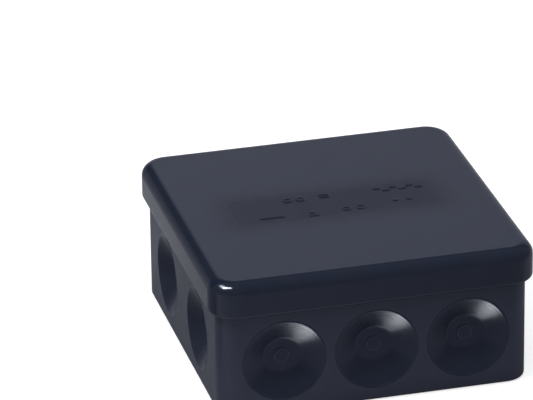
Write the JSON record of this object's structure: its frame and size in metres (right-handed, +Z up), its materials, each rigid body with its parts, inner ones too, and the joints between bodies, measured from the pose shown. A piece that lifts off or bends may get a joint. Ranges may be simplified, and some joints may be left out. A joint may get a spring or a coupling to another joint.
{
  "type": "pv junction box",
  "caption": "Square black plastic junction box with stepped push-through cable entries, a lift-off cap lid and a screw terminal strip inside.",
  "frame": {"origin": "centre of the underside of the base", "axes": "+Z up through the lid, +X along the side with three cable entries, -Y out of that side, which is the front"},
  "size_m": [0.086, 0.086, 0.038],
  "materials": {
    "base": "semi-matt black moulded plastic",
    "lid": "satin black moulded plastic",
    "terminal_plastic": "natural polyamide",
    "brass": "drawn",
    "screw_steel": "zinc plated"
  },
  "bodies": {
    "box": {"base": "base", "terminal_housing": "terminal_plastic", "clamp_body_1": "brass", "clamp_body_2": "brass", "clamp_body_3": "brass", "clamp_body_4": "brass", "clamp_body_5": "brass", "strip_screw_left": "screw_steel", "strip_screw_right": "screw_steel"},
    "lid": {"lid": "lid"},
    "clamp_screw_front_1": {"clamp_screw_front_1": "screw_steel"},
    "clamp_screw_front_2": {"clamp_screw_front_2": "screw_steel"},
    "clamp_screw_front_3": {"clamp_screw_front_3": "screw_steel"},
    "clamp_screw_front_4": {"clamp_screw_front_4": "screw_steel"},
    "clamp_screw_front_5": {"clamp_screw_front_5": "screw_steel"},
    "clamp_screw_back_1": {"clamp_screw_back_1": "screw_steel"},
    "clamp_screw_back_2": {"clamp_screw_back_2": "screw_steel"},
    "clamp_screw_back_3": {"clamp_screw_back_3": "screw_steel"},
    "clamp_screw_back_4": {"clamp_screw_back_4": "screw_steel"},
    "clamp_screw_back_5": {"clamp_screw_back_5": "screw_steel"}
  },
  "joints": [
    {"name": "lid_lift", "type": "slide", "parent": "box", "child": "lid", "axis": [0, 0, 1], "range_m": [0, 0.045]},
    {"name": "clamp_screw_front_1_travel", "type": "slide", "parent": "box", "child": "clamp_screw_front_1", "axis": [0, 0, 1], "range_m": [0, 0.0026]},
    {"name": "clamp_screw_front_2_travel", "type": "slide", "parent": "box", "child": "clamp_screw_front_2", "axis": [0, 0, 1], "range_m": [0, 0.0026]},
    {"name": "clamp_screw_front_3_travel", "type": "slide", "parent": "box", "child": "clamp_screw_front_3", "axis": [0, 0, 1], "range_m": [0, 0.0026]},
    {"name": "clamp_screw_front_4_travel", "type": "slide", "parent": "box", "child": "clamp_screw_front_4", "axis": [0, 0, 1], "range_m": [0, 0.0026]},
    {"name": "clamp_screw_front_5_travel", "type": "slide", "parent": "box", "child": "clamp_screw_front_5", "axis": [0, 0, 1], "range_m": [0, 0.0026]},
    {"name": "clamp_screw_back_1_travel", "type": "slide", "parent": "box", "child": "clamp_screw_back_1", "axis": [0, 0, 1], "range_m": [0, 0.0026]},
    {"name": "clamp_screw_back_2_travel", "type": "slide", "parent": "box", "child": "clamp_screw_back_2", "axis": [0, 0, 1], "range_m": [0, 0.0026]},
    {"name": "clamp_screw_back_3_travel", "type": "slide", "parent": "box", "child": "clamp_screw_back_3", "axis": [0, 0, 1], "range_m": [0, 0.0026]},
    {"name": "clamp_screw_back_4_travel", "type": "slide", "parent": "box", "child": "clamp_screw_back_4", "axis": [0, 0, 1], "range_m": [0, 0.0026]},
    {"name": "clamp_screw_back_5_travel", "type": "slide", "parent": "box", "child": "clamp_screw_back_5", "axis": [0, 0, 1], "range_m": [0, 0.0026]}
  ]
}
